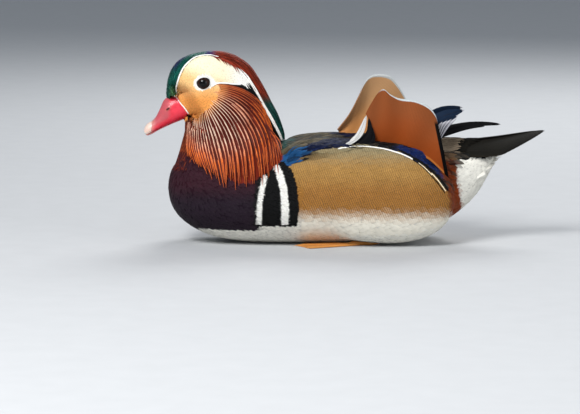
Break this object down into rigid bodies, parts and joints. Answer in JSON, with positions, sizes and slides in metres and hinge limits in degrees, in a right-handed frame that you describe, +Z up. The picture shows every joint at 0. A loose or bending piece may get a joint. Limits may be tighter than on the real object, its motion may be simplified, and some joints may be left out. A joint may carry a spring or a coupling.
{
  "type": "mandarin duck model",
  "caption": "Still life-size model of a swimming drake with raised sail feathers, a long crest and pointed neck hackles, resting on its belly.",
  "frame": {"origin": "on the floor, under the middle of the model's length and width", "axes": "+Z up, the bill points along -X, the bird's left side is towards -Y"},
  "size_m": [0.3443, 0.12, 0.164],
  "materials": {
    "bill": "satin crimson horn, smooth",
    "nail": "satin pale pink horn",
    "eye": "polished, dark brown, nearly black",
    "face": "soft short feathers: cream band over the eye, orange cheek, green and violet forehead",
    "crest": "long silky feathers, copper at the crown, dark green below",
    "throat": "short rusty brown feathers",
    "mane": "long pointed hackles, rust red with pale shafts",
    "breast": "close short feathers, purple maroon with white and black side bars",
    "torso": "close body feathers, dark back and white belly",
    "rump": "soft white under tail coverts",
    "flank": "golden buff feathers with fine dark wavy lines",
    "wing": "long smooth vanes, blue black with pale edges",
    "shoulder": "broad glossy vanes, dark blue with olive edges",
    "sail": "one broad orange vane with a white rim and dark hind edge",
    "tail": "stiff grey brown vanes",
    "foot": "dull orange scaled skin"
  },
  "bodies": {
    "root": {"bill_lower": "bill", "bill_nail": "nail", "bill_upper": "bill", "breast": "breast", "crest": "crest", "eye_left": "eye", "eye_right": "eye", "flank_left": "flank", "flank_right": "flank", "foot_left": "foot", "foot_right": "foot", "head": "face", "mane_left": "mane", "mane_right": "mane", "neck": "throat", "rump": "rump", "sail_left": "sail", "sail_right": "sail", "shoulder_left": "shoulder", "shoulder_right": "shoulder", "tail": "tail", "torso": "torso", "wing_left": "wing", "wing_right": "wing"}
  },
  "joints": []
}
